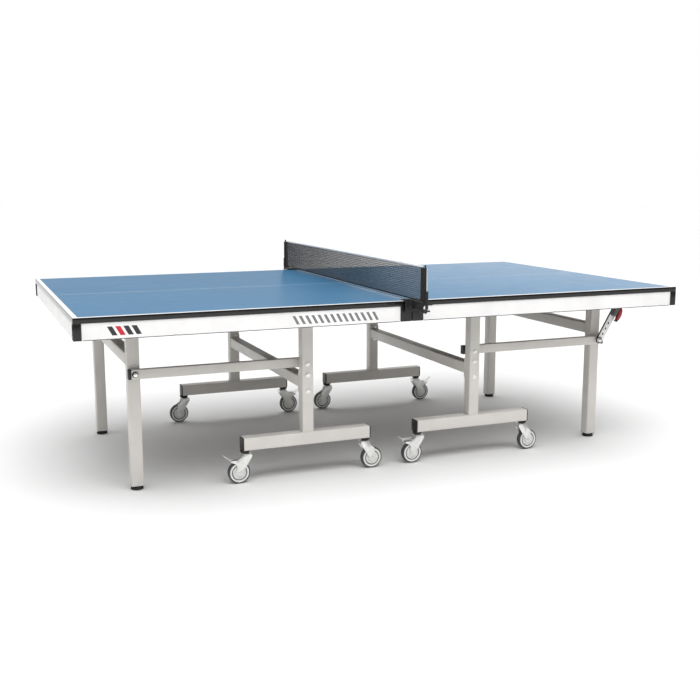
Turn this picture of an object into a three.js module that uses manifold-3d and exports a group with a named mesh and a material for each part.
// A folding table tennis table on eight casters: two half tables that meet under the net. Each half stands on a
// wheeled undercarriage of two T-frames and on a pair of end legs, and its top tips up over the undercarriage
// while two link bars keep the end legs upright.
// Millimetres, +Z up. X runs along the table, Y across it, and the origin is on the floor below the net's middle.
import * as THREE from "three";
import { mergeVertices } from "three/addons/utils/BufferGeometryUtils.js";
import Module from "manifold-3d";

const wasm = await Module();
wasm.setup();

// ---- Driving dimensions ----
// Tops
const TABLE_LENGTH = 2740;
const TABLE_WIDTH = 1525;
const TABLE_HEIGHT = 760;
const SEAM = 5; // gap between the two halves' boards
const BOARD = 22; // board thickness
const APRON_DEPTH = 64; // steel apron below the board
const APRON_SHEET = 2;
const APRON_FLANGE = 20;
const WELD_STEP = 0.4; // how far a welded sheet's edge sits inside the one it joins
const CORNER_WALL = 3.2; // plastic corner guards
const OUTER_GUARD = 30; // length of a guard's legs at the table's ends
const SEAM_GUARD = 50; // and at the seam
const STRIP = 4; // flat bar that closes the apron's net end over the T-frames
const STRIP_WIDTH = 40;

// Tubes
const TUBE = 50; // square tube of posts, legs and crossbars
const BASE_TUBE = 54; // square tube of the base bars
const TUBE_WALL = 2;
const TUBE_CHAMFER = 3; // outer corners
const VENT = 4; // radius of the drain hole in a tube that is welded shut at both ends

// Undercarriage
const POST_X = 401; // from the seam's centre plane to the posts' axes
const POST_INSET = 196.5; // from the table's side to the posts' axes
const BASE_LENGTH = 566;
const CROSSBAR_Z = 408; // middle of the undercarriage's crossbar
const END_PLATE = 4.5;
const END_PLATE_MARGIN = 21; // end plate past the crossbar, above and below
const PLATE_BOLT_MARGIN = 10; // bolt centres past the crossbar, above and below

// Folding linkage
const HINGE_DROP = 54; // from the playing surface down to the top's hinge axes
const HINGE_PIN = 8; // pin radius
const TUBE_ABOVE_PIN = 16; // how far a post or leg rises past its hinge axis
const LINK_Z = 489;
const LINK_HEIGHT = 40;
const LINK_WIDTH = 25;
const LINK_TAIL = 31; // link bar past the post's pivot
const LINK_NOSE = 27; // and past the leg's pivot
const SIDE_GAP = 5; // between post, link bar and leg
const BOLT = 6; // link bolt radius
const HEAD = 9.5; // bolt head radius
const HEAD_HEIGHT = 6;
const PLATE_BOLT = 5;
const PLATE_NUT = 8;
const PLAY = 0.5; // radial play of every pin and bolt in its hole
const OUTRIGGER_DROP = 20; // outrigger underside below the hinge axis
const OUTRIGGER_SHEET = 3;

// End legs
const LEG_INSET = 257; // from the table's end to the legs' axes
const LEG_BAR_Z = 540;
const FOOT_RADIUS = 26;
const FOOT_HEIGHT = 14;
const FOOT_STEM = 5;
const FOOT_STEM_TOP = 70;
const LEG_SOLE = 5; // plate that closes the leg's lower end
const LUG = 4; // sheet of the leg hinges' lugs
const LUG_HALF = 22; // half a lug's length along the table
const LUG_DROP = 18; // lug below the hinge axis
const CROSS_MEMBER_X = 60; // from the legs' axes out to the cross member's middle
const CROSS_MEMBER_WIDTH = 25;
const CROSS_MEMBER_DEPTH = 40;

// Fold lock
const STAY_ANGLE = THREE.MathUtils.degToRad(59.4); // above the horizontal
const STAY_LENGTH = 236;
const STAY_WIDTH = 34;
const STAY_SHEET = 5;
const STAY_SLOTS = [35, 64.5, 94]; // distances from the pivot
const STAY_SLOT_LENGTH = 11;
const STAY_SLOT_WIDTH = 7;
const STAY_STANDOFF = 2; // stay off the link bar
const HANDLE_FROM = 134;
const HANDLE_TO = 184;
const HANDLE_DEPTH = 20;
const HANDLE_LOW = -22; // across the stay, towards the table's end
const HANDLE_HIGH = 14;
const TRIGGER_PIVOT = 174;
const TRIGGER_PIVOT_LOW = -29;
const TRIGGER_TIP = 108;
const TRIGGER_WIDTH = 16;
const TRIGGER_PIN = 2.6;
const LUG_RADIUS = 6;
const ROD = 3.3; // release rod radius
const ROD_OFFSET = 20;
const ROD_END = 178;
const RING_OUTER = 15.5;
const RING_INNER = 12;
const RING_SHEET = 5;

// Casters
const SWIVEL_INSET = 15; // from a base bar's end to a caster's swivel axis
const HOUSING_RADIUS = 21;
const HOUSING_HEIGHT = 14;
const HOUSING_GAP = 1; // housing to the fork that turns under it
const STEM = 7.5;
const STEM_RISE = 16; // stem's top above the base bar's underside
const TRAIL = 34;
const WHEEL_RADIUS = 47.5;
const WHEEL_WIDTH = 26;
const WHEEL_CHAMFER = 3.5;
const WHEEL_BOSS = 8; // wall of the hub round the axle
const AXLE = 5;
const AXLE_HEAD = 3; // radius past the axle's, and height past the fork
const FORK_INSIDE = 31;
const FORK_SHEET = 2.5;
const FORK_CROWN = 5;
const FORK_FRONT = 16; // depth of the fork's front edge
const FORK_TIP = 15; // radius of a fork leg's lower end
const CROWN_CLEARANCE = 27; // wheel to the underside of the fork's crown
const PEDAL_WIDTH = 27;
const PEDAL_PIVOT = 16; // from the swivel axis
const PEDAL_DROP = 17; // pedal's pivot below the fork's top
const PEDAL_PIN = 3;
const PEDAL_SHEET = 6;
const PEDAL_REACH = 64; // from the pivot to the knee where the plate turns up
const PEDAL_KICK = 24; // length of the turned-up tip along the floor
const PEDAL_RISE = 19; // and upwards

// Net
const NET_HEIGHT = 152.5; // net's top above the playing surface
const NET_LIFT = 6; // net's bottom above the playing surface
const NET_OVERHANG = 115.5; // from the table's side out to a net post's axis
const NET_END_GAP = 16; // from the net's end to a net post's axis
const NET_THICK = 1.6;
const TAPE_HEIGHT = 7;
const TAPE_THICK = 4;
const NET_POST_RADIUS = 7;
const PEG_RADIUS = 3.5;
const PEG_RISE = 4.5; // peg above the net
const TENSIONER_OFFSET = 17; // tension rod outboard of the net post
const TENSIONER_RADIUS = 5;
const ADJUSTER_RADIUS = 6.5;
const ADJUSTER_HEIGHT = 74;
const ADJUSTER_DROP = 22; // adjuster's lower end below the playing surface
const LEVER = [19, 6, 10]; // adjuster's lever: length past the adjuster, thickness and height
const CLAMP_HALF = 37; // half of the clamp's width along the table
const CLAMP_PLATE = 4;
const CLAMP_REACH = 34; // plate over the playing surface
const CLAMP_STANDOFF = 8; // side plate off the table's side
const CLAMP_DROP = 44; // side plate's lower edge below the playing surface
const ARM_DEPTH = 11; // arm at the net post
const ARM_ROOT = 28; // and at the side plate
const SCREW_DROP = 31; // clamp screw below the playing surface
const SCREW = 5;
const PAD_RADIUS = 9;
const PAD_SHEET = 3;
const KNOB_RADIUS = 9;
const KNOB_LENGTH = 18;
const KNOB_INSET = 8; // knob's inner end inboard of the net post's axis
const WING_LENGTH = 46;
const WING_THICK = 7;
const WING_WIDTH = 8;

const GAP = 0.3; // between pieces that touch
const FACETS = 12; // sides of a round piece
const WHEEL_FACETS = 20;

// ---- Derived places ----
const HALF_LENGTH = TABLE_LENGTH / 2;
const HALF_WIDTH = TABLE_WIDTH / 2;
const SEAM_X = SEAM / 2;
const BOARD_Z = TABLE_HEIGHT - BOARD;
const FORK_TOP = 2 * WHEEL_RADIUS + CROWN_CLEARANCE + FORK_CROWN;
const BASE_HEIGHT = FORK_TOP + HOUSING_GAP + HOUSING_HEIGHT; // floor to the base bars' underside
const APRON_TOP = BOARD_Z - GAP;
const APRON_Z = BOARD_Z - APRON_DEPTH;
const APRON_Y = HALF_WIDTH - CORNER_WALL - GAP;
const APRON_END_X = HALF_LENGTH - CORNER_WALL - GAP;
const APRON_NET_X = SEAM_X + CORNER_WALL + GAP;
const HINGE_Z = TABLE_HEIGHT - HINGE_DROP;
const POST_Y = HALF_WIDTH - POST_INSET;
const POST_INNER = POST_Y - TUBE / 2;
const POST_OUTER = POST_Y + TUBE / 2;
const LINK_OUTER = POST_INNER - SIDE_GAP;
const LINK_INNER = LINK_OUTER - LINK_WIDTH;
const LEG_OUTER = LINK_INNER - SIDE_GAP;
const LEG_Y = LEG_OUTER - TUBE / 2;
const LEG_INNER = LEG_OUTER - TUBE;
const LEG_X = HALF_LENGTH - LEG_INSET;
const TUBE_TOP = HINGE_Z + TUBE_ABOVE_PIN;
const STAY_INNER = LINK_OUTER + STAY_STANDOFF;
const STAY_OUTER = STAY_INNER + STAY_SHEET;
const PLATE_BOLTS = [-1, 1].map((step) => CROSSBAR_Z + step * (TUBE / 2 + PLATE_BOLT_MARGIN));
const NET_POST_Y = HALF_WIDTH + NET_OVERHANG;
const NET_TOP = TABLE_HEIGHT + NET_HEIGHT;
const SCREW_Z = TABLE_HEIGHT - SCREW_DROP;

// ---- Colours and finishes ----
const finish = (color, roughness, metalness = 0) =>
  new THREE.MeshStandardMaterial({ color, roughness, metalness });
const BLUE_TOP = () => finish(0x4f7fb5, 0.45);
const WHITE_STEEL = () => finish(0xf0efea, 0.4, 0.1);
const ZINC = () => finish(0xc9c9c4, 0.3, 0.9);
const BLACK_PLASTIC = () => finish(0x1b1b1d, 0.5);
const RED_PLASTIC = () => finish(0xa3161f, 0.4);
const DARK_STEEL = () => finish(0x2a2c2d, 0.35, 0.6);
const TYRE = () => finish(0x8b8b88, 0.6);
const NET_CLOTH = () => finish(0x2c3640, 0.9);

// ---- Solid modelling ----
// A closed geometry as a manifold-3d solid.
function solid(geometry) {
  const bare = geometry.clone();
  bare.deleteAttribute("normal");
  bare.deleteAttribute("uv");
  const merged = mergeVertices(bare, 1e-4);
  return new wasm.Manifold(
    new wasm.Mesh({
      numProp: 3,
      vertProperties: merged.attributes.position.array,
      triVerts: new Uint32Array(merged.index.array),
    }),
  );
}

function geometryOf(body) {
  const mesh = body.getMesh();
  const geometry = new THREE.BufferGeometry();
  geometry.setAttribute("position", new THREE.BufferAttribute(mesh.vertProperties, 3));
  geometry.setIndex(new THREE.BufferAttribute(mesh.triVerts, 1));
  const flat = geometry.toNonIndexed();
  flat.computeVertexNormals();
  return flat;
}

const join = (pieces) => pieces.map(solid).reduce((all, next) => all.add(next));
const cut = (body, tools) => tools.map(solid).reduce((left, tool) => left.subtract(tool), body);

// A box between two opposite corners, given in any order.
function box(a, b) {
  const size = a.map((v, i) => Math.abs(b[i] - v));
  const middle = a.map((v, i) => (v + b[i]) / 2);
  return new THREE.BoxGeometry(...size).translate(...middle);
}

// A cylinder along Y between two y values, through (x, z).
function rodY(radius, x, z, from, to, sides = FACETS) {
  const g = new THREE.CylinderGeometry(radius, radius, Math.abs(to - from), sides);
  return g.translate(x, (from + to) / 2, z);
}

// A cylinder along Z between two heights, through (x, y).
function rodZ(radius, x, y, from, to, sides = FACETS) {
  const g = new THREE.CylinderGeometry(radius, radius, to - from, sides);
  return g.rotateX(Math.PI / 2).translate(x, y, (from + to) / 2);
}

// An outline in X and Z, extruded along Y between two y values.
function prismY(shape, from, to, arc = 3) {
  const low = Math.min(from, to);
  const depth = Math.abs(to - from);
  const g = new THREE.ExtrudeGeometry(shape, { depth, bevelEnabled: false, curveSegments: arc });
  return g.rotateX(Math.PI / 2).translate(0, low + depth, 0);
}

// An outline in Y and Z on the positive Y side, extruded along X to half a width each way, and turned to the side
// asked for.
function prismX(shape, side, half) {
  const g = new THREE.ExtrudeGeometry(shape, { depth: 2 * half, bevelEnabled: false });
  g.rotateX(Math.PI / 2).rotateZ(Math.PI / 2).translate(-half, 0, 0);
  return side > 0 ? g : g.rotateZ(Math.PI);
}

function outline(points) {
  return new THREE.Shape(points.map(([x, y]) => new THREE.Vector2(x, y)));
}

function roundedRectangle(width, height, radius) {
  const path = new THREE.Shape();
  const w = width / 2;
  const h = height / 2;
  path.moveTo(-w + radius, -h);
  path.lineTo(w - radius, -h);
  path.absarc(w - radius, -h + radius, radius, -Math.PI / 2, 0);
  path.lineTo(w, h - radius);
  path.absarc(w - radius, h - radius, radius, 0, Math.PI / 2);
  path.lineTo(-w + radius, h);
  path.absarc(-w + radius, h - radius, radius, Math.PI / 2, Math.PI);
  path.lineTo(-w, -h + radius);
  path.absarc(-w + radius, -h + radius, radius, Math.PI, 1.5 * Math.PI);
  return path;
}

// A hollow rectangular tube along Z from 0 to length, centred on the axis.
function tube(width, height, length) {
  const w = width / 2;
  const h = height / 2;
  const c = TUBE_CHAMFER;
  const corners = [
    [w - c, -h],
    [w, -h + c],
    [w, h - c],
    [w - c, h],
    [-w + c, h],
    [-w, h - c],
    [-w, -h + c],
    [-w + c, -h],
  ];
  const shape = outline(corners);
  const inW = w - TUBE_WALL;
  const inH = h - TUBE_WALL;
  const inside = outline([
    [-inW, -inH],
    [inW, -inH],
    [inW, inH],
    [-inW, inH],
  ]);
  shape.holes.push(inside);
  return new THREE.ExtrudeGeometry(shape, { depth: length, bevelEnabled: false });
}

const tubeZ = (width, depth, x, y, from, to) =>
  tube(width, depth, to - from).translate(x, y, from);
const tubeX = (depth, height, y, z, from, to) =>
  tube(height, depth, to - from).rotateY(Math.PI / 2).translate(from, y, z);
const tubeY = (width, height, x, z, from, to) =>
  tube(width, height, to - from).rotateX(-Math.PI / 2).translate(x, from, z);

function mesh(name, geometry, material) {
  const node = new THREE.Mesh(geometry, material);
  node.name = name;
  return node;
}

const madeOf = (name, body, material) => mesh(name, geometryOf(body), material);

// ---- Top: board, apron frame and corner guards ----
function board(name) {
  const g = box([SEAM_X, -HALF_WIDTH, BOARD_Z], [HALF_LENGTH, HALF_WIDTH, TABLE_HEIGHT]);
  return mesh(name, g, BLUE_TOP());
}

// A plan outline in X and Y, extruded between two heights.
function slabZ(points, from, to) {
  const g = new THREE.ExtrudeGeometry(outline(points), { depth: to - from, bevelEnabled: false });
  return g.translate(0, 0, from);
}

// The plan of a sheet that runs round three sides of the half and a little way along the net end, where it
// stops short of the T-frames: outer faces set in by inset, and width across the sheet.
function apronPlan(inset, width) {
  const stub = POST_OUTER + SIDE_GAP;
  const net = APRON_NET_X + inset;
  const end = APRON_END_X - inset;
  const y = APRON_Y - inset;
  return [
    [net, -stub],
    [net, -y],
    [end, -y],
    [end, y],
    [net, y],
    [net, stub],
    [net + width, stub],
    [net + width, y - width],
    [end - width, y - width],
    [end - width, width - y],
    [net + width, width - y],
    [net + width, -stub],
  ].reverse();
}

// A channel from a side rail in to the post, with the pin that the post's top turns on.
function outrigger(side) {
  const near = side * (POST_OUTER + SIDE_GAP);
  const far = side * (APRON_Y - APRON_SHEET / 2);
  const low = HINGE_Z - OUTRIGGER_DROP;
  const left = POST_X - TUBE / 2;
  const right = POST_X + TUBE / 2;
  const t = OUTRIGGER_SHEET;
  const walls = [
    [left, far],
    [left, near],
    [right, near],
    [right, far],
    [right - t, far],
    [right - t, near + side * t],
    [left + t, near + side * t],
    [left + t, far],
  ];
  return [
    slabZ(side > 0 ? walls : walls.reverse(), low, APRON_TOP - WELD_STEP),
    box(
      [left + WELD_STEP, near + side * WELD_STEP, low + WELD_STEP],
      [right - WELD_STEP, far - side * WELD_STEP, low + WELD_STEP + t],
    ),
    rodY(HINGE_PIN, POST_X, HINGE_Z, near + side, side * (POST_INNER + PLAY)),
  ];
}

// Two lugs from the cross member and the pin through a leg's top between them.
function legHinge(side) {
  const reach = LEG_X + CROSS_MEMBER_X - CROSS_MEMBER_WIDTH / 2 + 1;
  const low = HINGE_Z - LUG_DROP;
  const top = APRON_TOP - 3 * WELD_STEP;
  const lug = (y) => box([LEG_X - LUG_HALF, y, low], [reach, y + side * LUG, top]);
  const inner = side * (LEG_INNER - PLAY - LUG);
  const outer = side * (LEG_OUTER + PLAY);
  return [lug(inner), lug(outer), rodY(HINGE_PIN, LEG_X, HINGE_Z, inner + side, outer + side * (LUG - 1))];
}

// A channel across the half, open upwards.
function crossMember() {
  const w = CROSS_MEMBER_WIDTH / 2;
  const x = LEG_X + CROSS_MEMBER_X;
  const low = APRON_TOP - CROSS_MEMBER_DEPTH;
  const top = APRON_TOP - 2 * WELD_STEP;
  const t = APRON_SHEET;
  const y = APRON_Y - APRON_SHEET / 2;
  const section = outline([
    [x - w, low],
    [x + w, low],
    [x + w, top],
    [x + w - t, top],
    [x + w - t, low + t],
    [x - w + t, low + t],
    [x - w + t, top],
    [x - w, top],
  ]);
  return prismY(section, -y, y);
}

function apronFrame(name) {
  const s = WELD_STEP;
  const top = APRON_TOP;
  const pieces = [
    slabZ(apronPlan(0, APRON_SHEET), APRON_Z, top),
    slabZ(apronPlan(s, APRON_FLANGE), top - s - APRON_SHEET, top - s),
    slabZ(apronPlan(s, APRON_FLANGE), APRON_Z + s, APRON_Z + s + APRON_SHEET),
    box(
      [APRON_NET_X + 2 * s, 1 - APRON_Y, top - STRIP],
      [APRON_NET_X + STRIP_WIDTH, APRON_Y - 1, top - 2 * s],
    ),
    crossMember(),
  ];
  for (const side of [-1, 1]) {
    pieces.push(...outrigger(side));
    pieces.push(...legHinge(side));
  }
  return madeOf(name, join(pieces), WHITE_STEEL());
}

// An L-shaped guard round a corner of the apron: x and inward place its end face.
function cornerGuard(name, x, inward, side, length) {
  const y = side * HALF_WIDTH;
  const top = APRON_TOP;
  const body = join([
    box([x, y, APRON_Z], [x + inward * length, y - side * CORNER_WALL, top]),
    box([x, y, APRON_Z], [x + inward * CORNER_WALL, y - side * length, top]),
  ]);
  return madeOf(name, body, BLACK_PLASTIC());
}

// ---- Undercarriage ----
const casterSpots = [-1, 1].map((end) => POST_X + end * (BASE_LENGTH / 2 - SWIVEL_INSET));

function tFrame(name, side) {
  const y = side * POST_Y;
  const baseMiddle = BASE_HEIGHT + BASE_TUBE / 2;
  const from = POST_X - BASE_LENGTH / 2;
  const bar = tubeX(BASE_TUBE, BASE_TUBE, y, baseMiddle, from, from + BASE_LENGTH);
  const post = tubeZ(TUBE, TUBE, POST_X, y, BASE_HEIGHT + BASE_TUBE - 1, TUBE_TOP);
  const head = side * POST_OUTER;
  const shank = side * (LINK_INNER - HEAD_HEIGHT - GAP);
  const pieces = [bar, post];
  pieces.push(rodY(BOLT, POST_X, LINK_Z, head, shank));
  pieces.push(rodY(HEAD, POST_X, LINK_Z, shank, side * (LINK_INNER - 2 * GAP), 6));
  for (const z of PLATE_BOLTS) {
    const nut = side * (POST_INNER - END_PLATE - 2 * GAP);
    pieces.push(rodY(PLATE_BOLT, POST_X, z, head, nut - side * HEAD_HEIGHT));
    pieces.push(rodY(PLATE_NUT, POST_X, z, nut, nut - side * HEAD_HEIGHT, 6));
    pieces.push(rodY(HEAD, POST_X, z, head - side, head + side * HEAD_HEIGHT));
  }
  pieces.push(rodY(HEAD, POST_X, LINK_Z, head - side, head + side * HEAD_HEIGHT));
  for (const x of casterSpots) {
    pieces.push(rodZ(HOUSING_RADIUS, x, y, BASE_HEIGHT - HOUSING_HEIGHT, BASE_HEIGHT + 1));
  }
  const holes = casterSpots.map((x) =>
    rodZ(STEM + PLAY, x, y, BASE_HEIGHT - HOUSING_HEIGHT - 1, BASE_HEIGHT + TUBE_WALL + 2),
  );
  holes.push(rodY(HINGE_PIN + PLAY, POST_X, HINGE_Z, side * (POST_INNER - 1), side * (POST_OUTER + 1)));
  return madeOf(name, cut(join(pieces), holes), WHITE_STEEL());
}

function undercarriageCrossbar(name) {
  const end = POST_INNER - GAP;
  const plateInner = end - END_PLATE;
  const half = TUBE / 2 + END_PLATE_MARGIN;
  const pieces = [tubeY(TUBE - 2 * WELD_STEP, TUBE, POST_X, CROSSBAR_Z, -plateInner - 1, plateInner + 1)];
  const holes = [rodZ(VENT, POST_X, 0, CROSSBAR_Z - TUBE / 2 - 1, CROSSBAR_Z - TUBE / 2 + TUBE_WALL + 1)];
  for (const side of [-1, 1]) {
    pieces.push(
      box(
        [POST_X - TUBE / 2, side * plateInner, CROSSBAR_Z - half],
        [POST_X + TUBE / 2, side * end, CROSSBAR_Z + half],
      ),
    );
    for (const z of PLATE_BOLTS) {
      holes.push(rodY(PLATE_BOLT + PLAY, POST_X, z, side * (plateInner - 1), side * (end + 1)));
    }
  }
  return madeOf(name, cut(join(pieces), holes), WHITE_STEEL());
}

function linkBar(name, side) {
  const y = (side * (LINK_INNER + LINK_OUTER)) / 2;
  const bar = tubeX(LINK_WIDTH, LINK_HEIGHT, y, LINK_Z, POST_X - LINK_TAIL, LEG_X + LINK_NOSE);
  const holes = [POST_X, LEG_X].map((x) =>
    rodY(BOLT + PLAY, x, LINK_Z, side * (LINK_INNER - 1), side * (LINK_OUTER + 1)),
  );
  return madeOf(name, cut(solid(bar), holes), WHITE_STEEL());
}

// ---- End legs ----
function legFrame(name) {
  const soleTop = FOOT_HEIGHT + GAP + LEG_SOLE;
  const inner = LEG_INNER + 1;
  const pieces = [tubeY(TUBE - 2 * WELD_STEP, TUBE, LEG_X, LEG_BAR_Z, -inner, inner)];
  const holes = [rodZ(VENT, LEG_X, 0, LEG_BAR_Z - TUBE / 2 - 1, LEG_BAR_Z - TUBE / 2 + TUBE_WALL + 1)];
  for (const side of [-1, 1]) {
    const y = side * LEG_Y;
    const stack = side * (STAY_OUTER + RING_SHEET + 2 * GAP);
    pieces.push(tubeZ(TUBE, TUBE, LEG_X, y, FOOT_HEIGHT + GAP, TUBE_TOP));
    pieces.push(
      box(
        [LEG_X - TUBE / 2 + 1, y - TUBE / 2 + 1, FOOT_HEIGHT + GAP],
        [LEG_X + TUBE / 2 - 1, y + TUBE / 2 - 1, soleTop],
      ),
    );
    pieces.push(rodY(BOLT, LEG_X, LINK_Z, side * LEG_OUTER - side, stack));
    pieces.push(rodY(HEAD, LEG_X, LINK_Z, side * (STAY_OUTER + GAP), stack, 6));
    holes.push(rodY(HINGE_PIN + PLAY, LEG_X, HINGE_Z, y - TUBE / 2 - 1, y + TUBE / 2 + 1));
    holes.push(rodZ(FOOT_STEM + PLAY, LEG_X, y, FOOT_HEIGHT, soleTop + 1));
  }
  return madeOf(name, cut(join(pieces), holes), WHITE_STEEL());
}

function foot(name, side) {
  const y = side * LEG_Y;
  const profile = [
    [0, 0],
    [FOOT_RADIUS - 2, 0],
    [FOOT_RADIUS, 2],
    [FOOT_RADIUS, FOOT_HEIGHT - 3],
    [FOOT_RADIUS - 3, FOOT_HEIGHT],
    [FOOT_STEM, FOOT_HEIGHT],
    [FOOT_STEM, FOOT_STEM_TOP],
    [0, FOOT_STEM_TOP],
  ].map(([r, z]) => new THREE.Vector2(r, z));
  const g = new THREE.LatheGeometry(profile, FACETS).rotateX(Math.PI / 2).translate(LEG_X, y, 0);
  return mesh(name, g, BLACK_PLASTIC());
}

// ---- Fold lock: slotted stay with a grip, trigger and release rod, on the negative Y side of its half ----
// In the lock's own frame the pivot is the origin, X runs up the stay and -Z faces the table's end.
const lockY = (out) => -(STAY_INNER + out);

function lockStay(name) {
  const w = STAY_WIDTH / 2;
  const shape = new THREE.Shape();
  shape.absarc(0, 0, w, Math.PI / 2, 1.5 * Math.PI);
  shape.lineTo(STAY_LENGTH - w, -w);
  shape.lineTo(STAY_LENGTH, -w / 3);
  shape.lineTo(STAY_LENGTH, w);
  const holes = STAY_SLOTS.map((along) =>
    box(
      [along - STAY_SLOT_LENGTH / 2, lockY(-1), -STAY_SLOT_WIDTH / 2],
      [along + STAY_SLOT_LENGTH / 2, lockY(STAY_SHEET + 1), STAY_SLOT_WIDTH / 2],
    ),
  );
  holes.push(rodY(BOLT + PLAY, 0, 0, lockY(-1), lockY(STAY_SHEET + 1)));
  const grip = roundedRectangle(HANDLE_TO - HANDLE_FROM, HANDLE_HIGH - HANDLE_LOW, 6);
  const gripBody = prismY(grip, lockY(STAY_SHEET - 1), lockY(STAY_SHEET + HANDLE_DEPTH), 3);
  gripBody.translate((HANDLE_FROM + HANDLE_TO) / 2, 0, (HANDLE_LOW + HANDLE_HIGH) / 2);
  const middle = STAY_SHEET + HANDLE_DEPTH / 2;
  const lugHalf = TRIGGER_WIDTH / 4 - PLAY;
  const lugTop = HANDLE_LOW + 1;
  const lug = [
    rodY(LUG_RADIUS, TRIGGER_PIVOT, TRIGGER_PIVOT_LOW, lockY(middle - lugHalf), lockY(middle + lugHalf)),
    box(
      [TRIGGER_PIVOT - LUG_RADIUS, lockY(middle - lugHalf), TRIGGER_PIVOT_LOW],
      [TRIGGER_PIVOT + LUG_RADIUS, lockY(middle + lugHalf), lugTop],
    ),
  ];
  const pinHole = rodY(
    TRIGGER_PIN + PLAY,
    TRIGGER_PIVOT,
    TRIGGER_PIVOT_LOW,
    lockY(middle - lugHalf - 1),
    lockY(middle + lugHalf + 1),
  );
  const bar = prismY(shape, lockY(0), lockY(STAY_SHEET), 5);
  return madeOf(name, cut(join([bar, gripBody, ...lug]), [...holes, pinHole]), WHITE_STEEL());
}

function trigger(name) {
  const middle = STAY_SHEET + HANDLE_DEPTH / 2;
  const low = lockY(middle - TRIGGER_WIDTH / 2);
  const high = lockY(middle + TRIGGER_WIDTH / 2);
  const cheek = TRIGGER_WIDTH / 4;
  const under = TRIGGER_PIVOT_LOW - LUG_RADIUS - PLAY;
  const blade = outline([
    [TRIGGER_PIVOT + LUG_RADIUS, under],
    [TRIGGER_TIP, under - 3],
    [TRIGGER_TIP - 3, under - 9],
    [TRIGGER_PIVOT + LUG_RADIUS - 4, under - 8],
  ]);
  const cheeks = outline([
    [TRIGGER_PIVOT - LUG_RADIUS, TRIGGER_PIVOT_LOW + 3],
    [TRIGGER_PIVOT - LUG_RADIUS - 4, under - 2],
    [TRIGGER_PIVOT + LUG_RADIUS, under - 1],
    [TRIGGER_PIVOT + LUG_RADIUS, TRIGGER_PIVOT_LOW + 3],
  ]);
  const body = join([
    prismY(blade, low, high),
    prismY(cheeks, low, low - cheek),
    prismY(cheeks, high, high + cheek),
    rodY(TRIGGER_PIN, TRIGGER_PIVOT, TRIGGER_PIVOT_LOW, low, high),
  ]);
  return madeOf(name, body, RED_PLASTIC());
}

function releaseRod(name) {
  const y = lockY(STAY_SHEET + GAP + RING_SHEET / 2);
  const ring = new THREE.Shape().absarc(0, 0, RING_OUTER, 0, 2 * Math.PI);
  ring.holes.push(new THREE.Path().absarc(0, 0, RING_INNER, 0, 2 * Math.PI));
  const rod = new THREE.CylinderGeometry(ROD, ROD, ROD_END, 8);
  rod.rotateZ(-Math.PI / 2).translate(ROD_END / 2, y - 1, ROD_OFFSET);
  const neck = box([-3, y - 2, RING_INNER + 1], [3, y + 2, ROD_OFFSET]);
  const body = join([
    prismY(ring, y - RING_SHEET / 2, y + RING_SHEET / 2, 8),
    neck,
    rod,
  ]);
  return madeOf(name, body, DARK_STEEL());
}

function foldLock(name) {
  const lock = new THREE.Group();
  lock.add(lockStay(name + "_lock_stay"));
  lock.add(trigger(name + "_lock_trigger"));
  lock.add(releaseRod(name + "_release_rod"));
  lock.position.set(LEG_X, 0, LINK_Z);
  lock.rotation.y = -STAY_ANGLE;
  return lock;
}

// ---- Casters: the swivel axis is at the origin and the wheel trails towards +X ----
// The braked casters' forks carry a shroud back over the wheel, under the pedal.
function forkOutline(braked) {
  const shape = new THREE.Shape();
  shape.moveTo(-HOUSING_RADIUS, FORK_TOP);
  shape.lineTo(-HOUSING_RADIUS, FORK_TOP - FORK_FRONT);
  shape.lineTo(TRAIL - FORK_TIP, WHEEL_RADIUS - 2);
  shape.absarc(TRAIL, WHEEL_RADIUS, FORK_TIP, Math.PI, 2 * Math.PI);
  shape.lineTo(TRAIL + FORK_TIP - 5, FORK_TOP - 2.6 * FORK_FRONT);
  if (braked) {
    shape.lineTo(TRAIL + 2.5 * FORK_TIP, FORK_TOP - 1.85 * FORK_FRONT);
    shape.lineTo(TRAIL + 2.4 * FORK_TIP, FORK_TOP - 1.35 * FORK_FRONT);
  } else {
    shape.lineTo(TRAIL + FORK_TIP - 9, FORK_TOP - 1.85 * FORK_FRONT);
  }
  shape.lineTo(HOUSING_RADIUS, FORK_TOP);
  return shape;
}

function casterFork(name, braked) {
  const half = FORK_INSIDE / 2 + FORK_SHEET;
  const shell = solid(prismY(forkOutline(braked), -half, half));
  const slot = box(
    [-2 * HOUSING_RADIUS, -FORK_INSIDE / 2, 0],
    [TRAIL + 4 * FORK_TIP, FORK_INSIDE / 2, FORK_TOP - FORK_CROWN],
  );
  const holes = [slot];
  if (braked) {
    holes.push(rodY(PEDAL_PIN + PLAY, PEDAL_PIVOT, FORK_TOP - PEDAL_DROP, -half - 1, half + 1));
  }
  const extras = join([
    rodY(AXLE, TRAIL, WHEEL_RADIUS, -half - 2, half + 2, 10),
    rodY(AXLE + AXLE_HEAD, TRAIL, WHEEL_RADIUS, half - 1, half + AXLE_HEAD, 6),
    rodY(AXLE + AXLE_HEAD, TRAIL, WHEEL_RADIUS, -half - AXLE_HEAD, -half + 1, 6),
    rodZ(STEM, 0, 0, FORK_TOP - FORK_CROWN + 1, BASE_HEIGHT + STEM_RISE),
  ]);
  return madeOf(name, cut(shell, holes).add(extras), ZINC());
}

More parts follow.
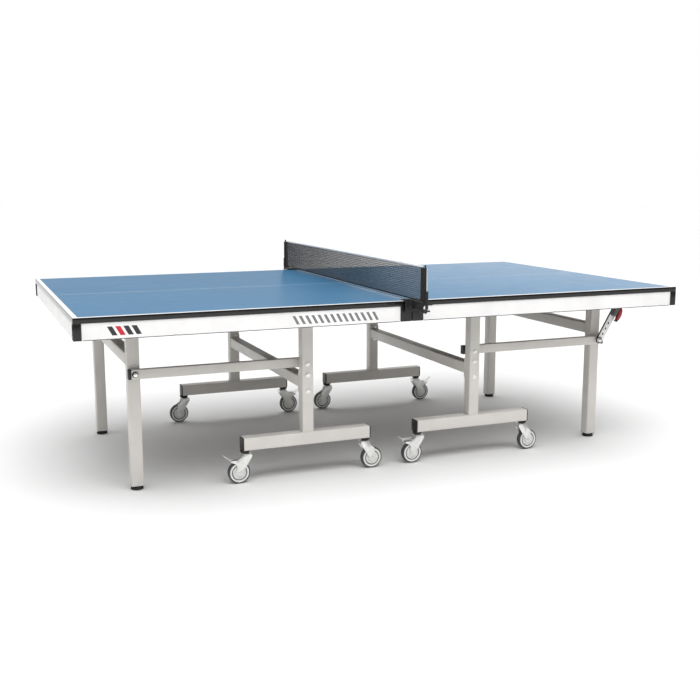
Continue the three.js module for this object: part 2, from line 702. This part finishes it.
function casterWheel(name) {
  const w = WHEEL_WIDTH / 2;
  const hub = (w + FORK_INSIDE / 2) / 2;
  const bore = AXLE + PLAY;
  const profile = [
    [bore, -hub],
    [bore + WHEEL_BOSS, -hub],
    [WHEEL_RADIUS - WHEEL_CHAMFER, -w],
    [WHEEL_RADIUS, -w + WHEEL_CHAMFER],
    [WHEEL_RADIUS, w - WHEEL_CHAMFER],
    [WHEEL_RADIUS - WHEEL_CHAMFER, w],
    [bore + WHEEL_BOSS, hub],
    [bore, hub],
    [bore, -hub],
  ].map(([r, y]) => new THREE.Vector2(r, y));
  const g = new THREE.LatheGeometry(profile, WHEEL_FACETS).translate(TRAIL, 0, WHEEL_RADIUS);
  return mesh(name, g, TYRE());
}

function brakePedal(name) {
  const pivotZ = FORK_TOP - PEDAL_DROP;
  const hub = rodY(PEDAL_SHEET, PEDAL_PIVOT, pivotZ, -PEDAL_WIDTH / 2, PEDAL_WIDTH / 2);
  const half = FORK_INSIDE / 2 + FORK_SHEET;
  const pin = rodY(PEDAL_PIN, PEDAL_PIVOT, pivotZ, -half, half);
  const kneeX = PEDAL_PIVOT + PEDAL_REACH;
  const kneeZ = pivotZ - PEDAL_SHEET / 2;
  const plate = outline([
    [PEDAL_PIVOT, kneeZ],
    [kneeX, kneeZ],
    [kneeX + PEDAL_KICK, kneeZ + PEDAL_RISE],
    [kneeX + PEDAL_KICK - 2, kneeZ + PEDAL_RISE + 2],
    [kneeX - 1, kneeZ + PEDAL_SHEET - 2],
    [PEDAL_PIVOT, pivotZ + PEDAL_SHEET / 2],
  ]);
  const blade = prismY(plate, -PEDAL_WIDTH / 2, PEDAL_WIDTH / 2);
  return madeOf(name, join([hub, pin, blade]), ZINC());
}

// outward is the trailing direction along X.
function caster(name, x, side, outward, braked) {
  const group = new THREE.Group();
  group.add(casterFork(name + "_fork", braked));
  group.add(casterWheel(name + "_wheel"));
  if (braked) group.add(brakePedal(name + "_brake_pedal"));
  group.position.set(x, side * POST_Y, 0);
  if (outward < 0) group.rotation.z = Math.PI;
  return group;
}

// ---- One half, modelled as the right half: the table's end is towards +X ----
function halfTable(name, turned) {
  const half = new THREE.Group();
  const sideName = (side) => ((side < 0) === !turned ? "front" : "back");
  half.add(board(name + "_board"));
  half.add(apronFrame(name + "_apron_frame"));
  half.add(undercarriageCrossbar(name + "_undercarriage_crossbar"));
  half.add(legFrame(name + "_leg_frame"));
  half.add(foldLock(name));
  for (const side of [-1, 1]) {
    const place = sideName(side);
    half.add(cornerGuard(`${name}_${place}_end_guard`, HALF_LENGTH, -1, side, OUTER_GUARD));
    half.add(cornerGuard(`${name}_${place}_seam_guard`, SEAM_X, 1, side, SEAM_GUARD));
    half.add(tFrame(`${name}_${place}_t_frame`, side));
    half.add(linkBar(`${name}_${place}_link_bar`, side));
    half.add(foot(`${name}_${place}_foot`, side));
    const [seamSpot, endSpot] = casterSpots;
    half.add(caster(`${name}_${place}_seam_caster`, seamSpot, side, -1, side < 0));
    half.add(caster(`${name}_${place}_end_caster`, endSpot, side, 1, side > 0));
  }
  if (turned) half.rotation.z = Math.PI;
  return half;
}

// ---- Net, with its posts and clamps ----
function net(name) {
  const half = NET_POST_Y - NET_END_GAP;
  const body = join([
    box([-NET_THICK / 2, -half, TABLE_HEIGHT + NET_LIFT], [NET_THICK / 2, half, NET_TOP - 1]),
    box([-TAPE_THICK / 2, -half, NET_TOP - TAPE_HEIGHT], [TAPE_THICK / 2, half, NET_TOP]),
  ]);
  return madeOf(name, body, NET_CLOTH());
}

// An angle bracket that hooks over the table's side, an arm out to the post, and the net's tension rod beside it.
function netPost(name, side) {
  const rod = side * (NET_POST_Y + TENSIONER_OFFSET);
  const plateOut = HALF_WIDTH + CLAMP_STANDOFF + CLAMP_PLATE;
  const plateLow = TABLE_HEIGHT + PLAY;
  const plateTop = plateLow + CLAMP_PLATE;
  const armLow = plateTop - ARM_DEPTH;
  const postTop = NET_TOP - TAPE_HEIGHT;
  const adjusterLow = TABLE_HEIGHT - ADJUSTER_DROP;
  const adjusterTop = adjusterLow + ADJUSTER_HEIGHT;
  const [leverLength, leverThick, leverHeight] = LEVER;
  const arm = outline([
    [plateOut - 1, plateTop - ARM_ROOT],
    [NET_POST_Y - 3 * NET_POST_RADIUS, plateTop - ARM_ROOT + 3],
    [NET_POST_Y - NET_POST_RADIUS, armLow],
    [NET_POST_Y + TENSIONER_OFFSET, armLow],
    [NET_POST_Y + TENSIONER_OFFSET, plateTop - WELD_STEP],
    [plateOut - 1, plateTop - WELD_STEP],
  ]);
  const body = join([
    box(
      [-CLAMP_HALF, side * (HALF_WIDTH - CLAMP_REACH), plateLow],
      [CLAMP_HALF, side * plateOut, plateTop],
    ),
    box(
      [-CLAMP_HALF + WELD_STEP, side * (plateOut - CLAMP_PLATE), TABLE_HEIGHT - CLAMP_DROP],
      [CLAMP_HALF - WELD_STEP, side * (plateOut - WELD_STEP), plateTop - WELD_STEP],
    ),
    prismX(arm, side, NET_POST_RADIUS - 1),
    rodZ(NET_POST_RADIUS, 0, side * NET_POST_Y, armLow + WELD_STEP, postTop),
    rodZ(PEG_RADIUS, 0, side * NET_POST_Y, postTop - 1, NET_TOP + PEG_RISE, 8),
    rodZ(ADJUSTER_RADIUS, 0, rod, adjusterLow, adjusterTop),
    rodZ(TENSIONER_RADIUS, 0, rod, adjusterTop - 1, postTop, 8),
    box([-3, side * NET_POST_Y, postTop - 6], [3, rod, postTop - 1]),
    box(
      [0, rod - leverThick / 2, TABLE_HEIGHT - leverHeight / 2],
      [ADJUSTER_RADIUS + leverLength, rod + leverThick / 2, TABLE_HEIGHT + leverHeight / 2],
    ),
  ]);
  const hole = rodY(SCREW + PLAY, 0, SCREW_Z, side * (plateOut - CLAMP_PLATE - 1), side * (plateOut + 1));
  return madeOf(name, cut(body, [hole]), BLACK_PLASTIC());
}

function clampScrew(name, side) {
  const padFace = side * (HALF_WIDTH + PLAY);
  const knob = side * (NET_POST_Y - KNOB_INSET);
  const knobMiddle = knob + (side * KNOB_LENGTH) / 2;
  const body = join([
    rodY(PAD_RADIUS, 0, SCREW_Z, padFace, padFace + side * PAD_SHEET),
    rodY(SCREW, 0, SCREW_Z, padFace + side, knob + side * 2),
    rodY(KNOB_RADIUS, 0, SCREW_Z, knob, knob + side * KNOB_LENGTH),
    box(
      [-WING_LENGTH / 2, knobMiddle - WING_WIDTH / 2, SCREW_Z - WING_THICK / 2],
      [WING_LENGTH / 2, knobMiddle + WING_WIDTH / 2, SCREW_Z + WING_THICK / 2],
    ),
  ]);
  return madeOf(name, body, BLACK_PLASTIC());
}

const table = new THREE.Group();
table.add(halfTable("right", false));
table.add(halfTable("left", true));
table.add(net("net"));
for (const [place, side] of [
  ["front", -1],
  ["back", 1],
]) {
  table.add(netPost(place + "_net_post", side));
  table.add(clampScrew(place + "_clamp_screw", side));
}

export default table;
